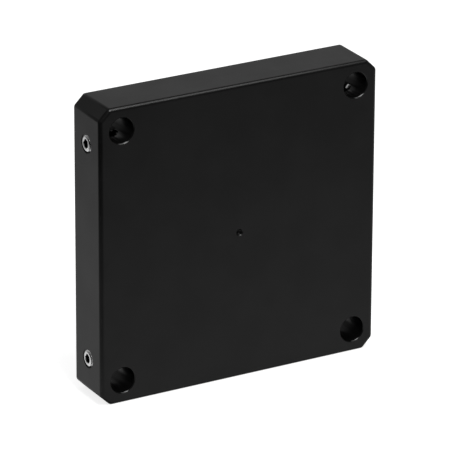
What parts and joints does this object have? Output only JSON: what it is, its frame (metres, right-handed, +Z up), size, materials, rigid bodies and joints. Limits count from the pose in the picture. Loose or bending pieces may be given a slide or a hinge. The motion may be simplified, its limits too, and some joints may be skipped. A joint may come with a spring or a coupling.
{
  "type": "optical cage plate",
  "caption": "Square blank cage plate for an optical cage system: a rod bore in each corner, crossed by the set screw that clamps its rod, and a post hole beneath.",
  "frame": {"origin": "centre of the plate: on the optical axis, at mid-thickness", "axes": "+Z up, with the post hole facing down; +Y along the optical axis, from the front face to the back face; +X to the right, seen from the front"},
  "size_m": [0.0714, 0.0126, 0.071],
  "materials": {
    "black_anodised_aluminium": "milled and bead-blasted, then black anodised, satin",
    "screw_steel": "bright stainless steel"
  },
  "bodies": {
    "plate": {"cage_plate": "black_anodised_aluminium"},
    "screw_upper_left": {"set_screw_upper_left": "screw_steel"},
    "screw_lower_left": {"set_screw_lower_left": "screw_steel"},
    "screw_upper_right": {"set_screw_upper_right": "screw_steel"},
    "screw_lower_right": {"set_screw_lower_right": "screw_steel"}
  },
  "joints": [
    {"name": "turn_in_upper_left", "type": "slide", "parent": "plate", "child": "screw_upper_left", "axis": [-1, 0, 0], "range_m": [-0.00056, 0.0014]},
    {"name": "turn_in_lower_left", "type": "slide", "parent": "plate", "child": "screw_lower_left", "axis": [-1, 0, 0], "range_m": [-0.00056, 0.0014]},
    {"name": "turn_in_upper_right", "type": "slide", "parent": "plate", "child": "screw_upper_right", "axis": [1, 0, 0], "range_m": [-0.00003, 0.00193]},
    {"name": "turn_in_lower_right", "type": "slide", "parent": "plate", "child": "screw_lower_right", "axis": [1, 0, 0], "range_m": [-0.00056, 0.0014]}
  ]
}
